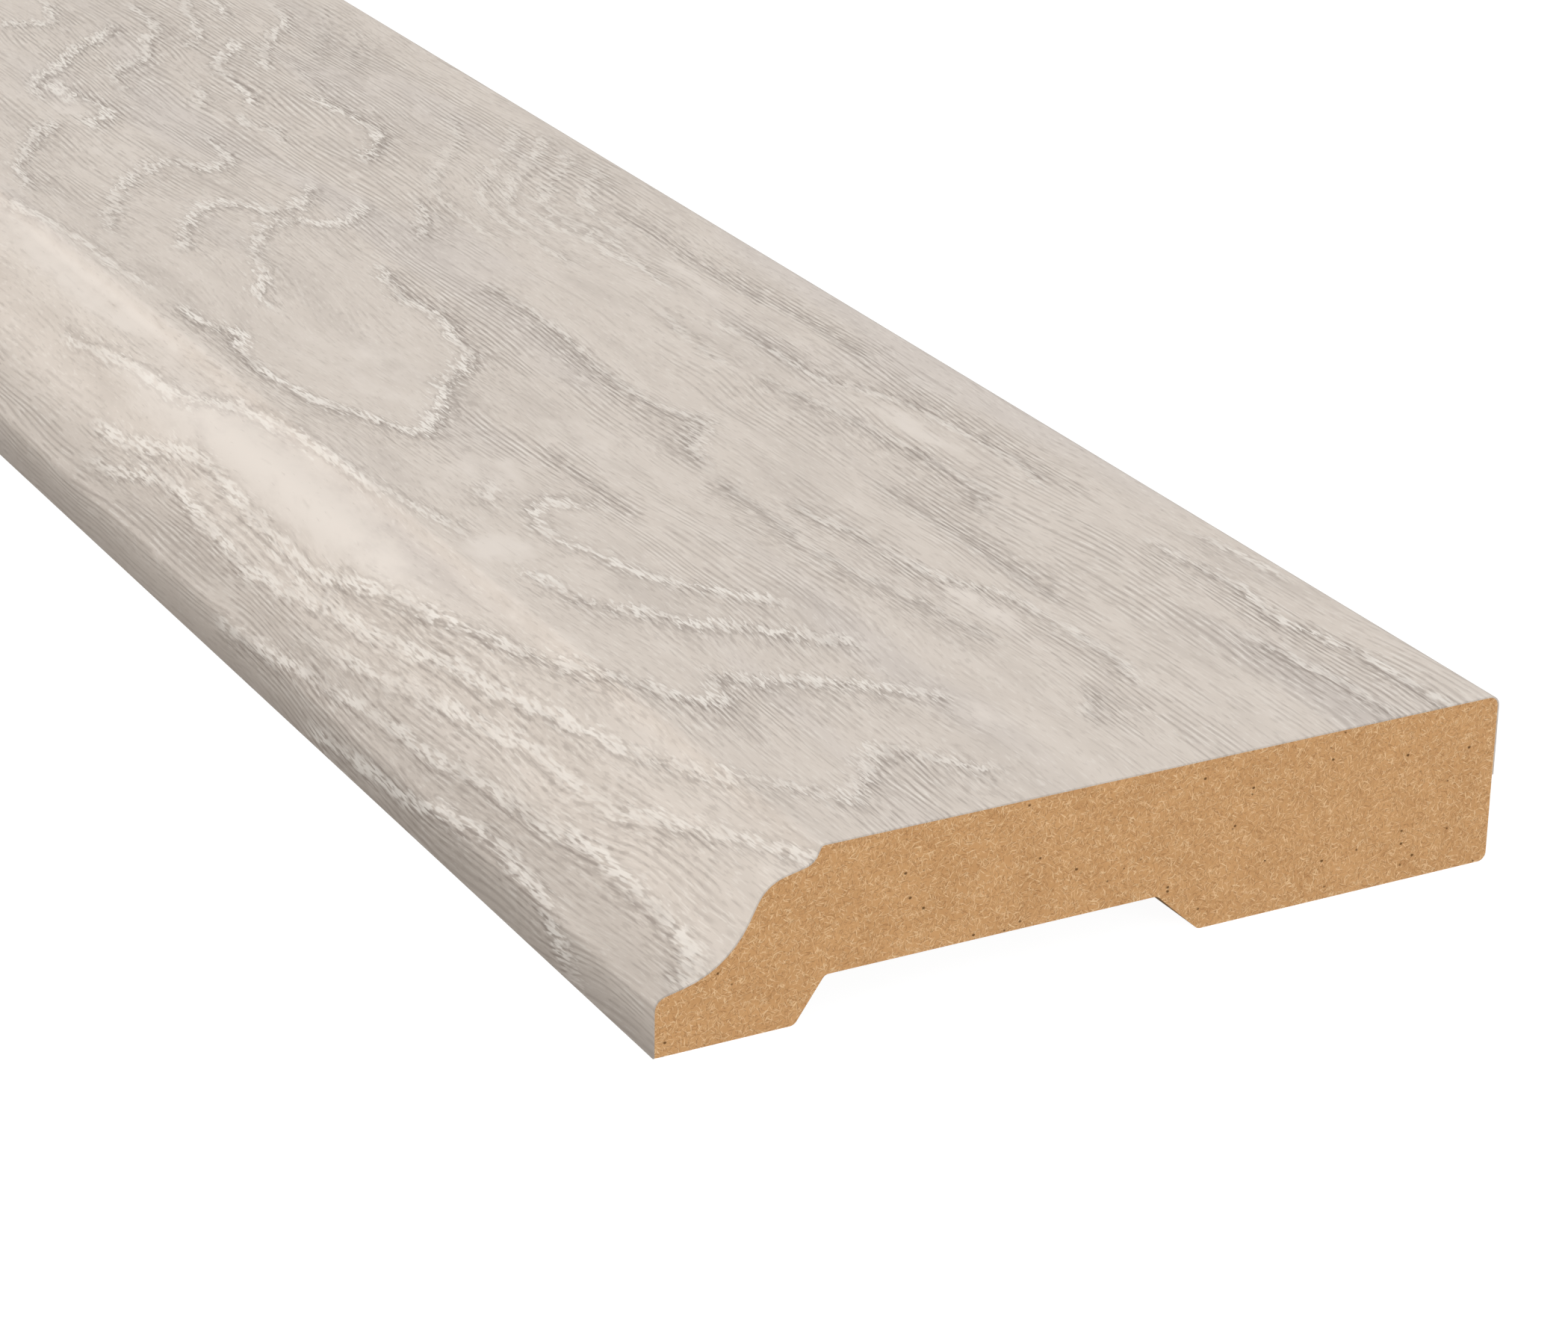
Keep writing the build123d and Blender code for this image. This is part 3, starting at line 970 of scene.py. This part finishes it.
def fibreboard():
    """Sawn fibreboard: a felt of short pale and brown fibres, partly their own tone and partly painted
    highlight and shade of their relief, with a few dark specks.
    """
    paint = Paint("sawn_fibreboard")
    first, second = paint.grain()
    curl = (paint.noise(first / 1.5, second / 1.5, 71.0) - 0.5) * 0.7
    lit = []
    shaded = []
    # Pale fibres are partly their own tone and partly a painted highlight; dark ones partly their own tone
    # and partly painted shade
    for number, angle in enumerate(FIBRE_ANGLES):
        cosine, sine = math.cos(math.radians(angle)), math.sin(math.radians(angle))
        along = first * cosine + second * sine
        across = second * cosine - first * sine + curl
        lit.append(paint.noise(along / 0.95, across / 0.12, 3.0 + number * 9).rise(0.63, 0.69))
        shaded.append(paint.noise(along / 0.8, across / 0.13, 6.0 + number * 9).rise(0.37, 0.31))
    pale = largest(*lit)
    dark = largest(*shaded)
    mottle = paint.noise(first / 4, second / 3, 50.0, detail=3.0)
    distance, chance = paint.cells(first / 1.6, second / 1.3, 61.0)
    speck = distance.rise(0.13, 0.06) * chance.rise(0.62, 0.66)
    tone = paint.mix(mottle.rise(0.3, 0.75) * 0.2, MDF_TONE, MDF_DARK_AND_SHADED)
    tone = paint.mix(dark * 0.55, tone, MDF_DARK_AND_SHADED)
    tone = paint.mix(pale * 0.8, tone, MDF_PALE_AND_LIT)
    tone = paint.mix(speck, tone, MDF_SPECK)
    height = pale * 0.4 - dark * 0.4 - speck * 0.5 + 0.5
    roughness = pale * -0.05 + 0.85
    return paint.finish(tone, roughness, height, MDF_RELIEF, MDF_SHINE)


def build_laminate():
    """The laminate, one thin skin with its print outside."""
    outer = show_side(SKIN)
    inner = show_side(0)
    count = len(outer)
    ring = outer + inner[::-1]
    across = across_grain(outer) + across_grain(inner)[::-1]
    ends = [[index, index + 1, 2 * count - 2 - index, 2 * count - 1 - index] for index in range(count - 1)]
    length = walked(outer)[-1]
    outer_map = [(distance / length, 1) for distance in walked(outer)]
    inner_map = [(u, 0) for u, v in reversed(outer_map)]
    fine_from = HALF_LENGTH - FINE_LENGTH
    stations = evenly(-HALF_LENGTH, fine_from, PLAIN_STEP)[:-1] + evenly(fine_from, HALF_LENGTH, FINE_STEP)
    loft = Loft(ring, count - 1, across, ends, outer_map + inner_map)
    material = OakPrint().material()
    piece = loft.build("baseboard_laminate", material, stations, lambda x: [(x, place) for place in across])
    add_print(piece.data)
    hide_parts("laminate_wrap")
    return piece


def add_print(mesh):
    """The maps that tell the laminate's material where its veins, grey strokes and calm places lie."""
    count = len(mesh.loops)
    grain = np.empty(2 * count, dtype=np.float32)
    mesh.uv_layers["Grain"].data.foreach_get("uv", grain)
    places, corners = np.unique(grain.reshape(count, 2), axis=0, return_inverse=True)
    along = (places[:, 0].astype(float) - HALF_LENGTH) / MM
    across = places[:, 1].astype(float) / MM
    drawn = along > DRAWN_END_MM
    near = DrawnPrint(along, across)
    distance, paleness, grey = island_veins(along, across)
    maps = {
        "Veins": [np.where(drawn, *pair) for pair in zip(near.sets[0], (distance, paleness))],
        "Others": near.sets[1],
        "Wood": (np.where(drawn, near.grey, grey), marked(along, across, CALM_MM)),
        "Lines": (near.crossing, marked(along, across, LINED_MM)),
    }
    for title, (first, second) in maps.items():
        layer = mesh.uv_layers.new(name=title)
        layer.data.foreach_set("uv", np.c_[first, second][corners.ravel()].astype(np.float32).ravel())


def build_core():
    """The moulded core, with its sawn ends and its relieved back."""
    back = back_side()
    face = show_side(0)
    ring = back + face[1:-1]
    across = [distance - HALF_WIDTH for distance in walked(ring)]
    end_map = [((point.x + HALF_WIDTH) / (2 * HALF_WIDTH), point.y / CORE_THICKNESS) for point in ring]
    flat = [(point.x, point.y) for point in ring]
    stations = evenly(-HALF_LENGTH, HALF_LENGTH, CORE_STEP)
    loft = Loft(ring, len(back) - 1, across, [list(range(len(ring)))], end_map)
    piece = loft.build("baseboard_core", fibreboard(), stations, lambda x: flat)
    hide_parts("mdf_core")
    return piece


for piece in (build_laminate(), build_core()):
    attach(piece, "root")


# The stage: a pale floor that throws little light back, a soft sky and two broad lamps
FLOOR_REACH = 30.0
FLOOR_TONE = (0.15, 0.15, 0.15, 1)
FLOOR_GLOW = 0.95
WHITE = (1, 1, 1, 1)


def build_floor():
    """A wide floor that glows by itself, and that neither lights the board nor shows in it."""
    near, far = -FLOOR_REACH, FLOOR_REACH
    mesh = bpy.data.meshes.new("floor")
    mesh.from_pydata([(near, near, 0), (far, near, 0), (far, far, 0), (near, far, 0)], [], [(0, 1, 2, 3)])
    floor = bpy.data.objects.new("floor", mesh)
    bpy.context.scene.collection.objects.link(floor)
    floor.visible_diffuse = False
    floor.visible_glossy = False
    material = bpy.data.materials.new("pale_floor")
    material.use_nodes = True
    shader = material.node_tree.nodes["Principled BSDF"]
    shader.inputs["Base Color"].default_value = FLOOR_TONE
    shader.inputs["Roughness"].default_value = 1.0
    shader.inputs["Specular IOR Level"].default_value = 0.0
    shader.inputs["Emission Color"].default_value = WHITE
    shader.inputs["Emission Strength"].default_value = FLOOR_GLOW
    mesh.materials.append(material)


SKY_LIGHT = 0.82
GROUND_LIGHT = 0.12
HORIZON = (-0.1, 0.2)


def build_sky():
    """An even sky with a dim ground under it."""
    world = bpy.data.worlds.new("studio")
    world.use_nodes = True
    tree = world.node_tree
    direction = tree.nodes.new("ShaderNodeTexCoord")
    split = tree.nodes.new("ShaderNodeSeparateXYZ")
    tree.links.new(direction.outputs["Generated"], split.inputs[0])
    horizon = Wire(tree, split.outputs["Z"]).rise(*HORIZON)
    strength = horizon * (SKY_LIGHT - GROUND_LIGHT) + GROUND_LIGHT
    background = tree.nodes["Background"]
    background.inputs["Color"].default_value = WHITE
    tree.links.new(strength.socket, background.inputs["Strength"])
    bpy.context.scene.world = world


# The lamps look at a place just inside the sawn end
LAMP_AIM = Vector((HALF_LENGTH - 50 * MM, 0, 0))
LAMP_DISTANCE = 2.0


def add_lamp(name, azimuth, height, size, energy):
    """A square lamp, at an azimuth off +X and a height in degrees."""
    lamp = bpy.data.lights.new(name, "AREA")
    lamp.size = size
    lamp.energy = energy
    piece = bpy.data.objects.new(name, lamp)
    turn, rise = math.radians(azimuth), math.radians(height)
    away = Vector((math.cos(rise) * math.cos(turn), math.cos(rise) * math.sin(turn), math.sin(rise)))
    piece.location = LAMP_AIM + away * LAMP_DISTANCE
    piece.rotation_euler = (-away).to_track_quat("-Z", "Y").to_euler()
    bpy.context.scene.collection.objects.link(piece)


# The camera stands beyond the sawn end, on the moulded side, and looks back along the board
CAMERA_PLACE = Vector((301.9, -197.4, 182.0)) * MM
CAMERA_AIM = Vector((-34.4, -10.8, 15.9)) * MM
CAMERA_ROLL = 1.06
CAMERA_LENS_MM = 109.6
CAMERA_SENSOR_MM = 36.0
CAMERA_NEAR = 10 * MM


def build_camera():
    """The photo's camera. Its place and aim are given from the foot of the sawn end."""
    data = bpy.data.cameras.new("camera")
    data.lens = CAMERA_LENS_MM
    data.sensor_width = CAMERA_SENSOR_MM
    data.clip_start = CAMERA_NEAR
    camera = bpy.data.objects.new("camera", data)
    end = Vector((HALF_LENGTH, 0, 0))
    look = (CAMERA_AIM - CAMERA_PLACE).to_track_quat("-Z", "Y").to_matrix()
    roll = Matrix.Rotation(math.radians(CAMERA_ROLL), 3, "Z")
    camera.matrix_world = Matrix.Translation(end + CAMERA_PLACE) @ (look @ roll).to_4x4()
    bpy.context.scene.collection.objects.link(camera)
    bpy.context.scene.camera = camera


build_floor()
build_sky()
add_lamp("side", azimuth=-78, height=16, size=0.8, energy=18.5)
add_lamp("front", azimuth=15, height=12, size=1.0, energy=16.0)
build_camera()
bpy.context.scene.view_settings.view_transform = "Standard"
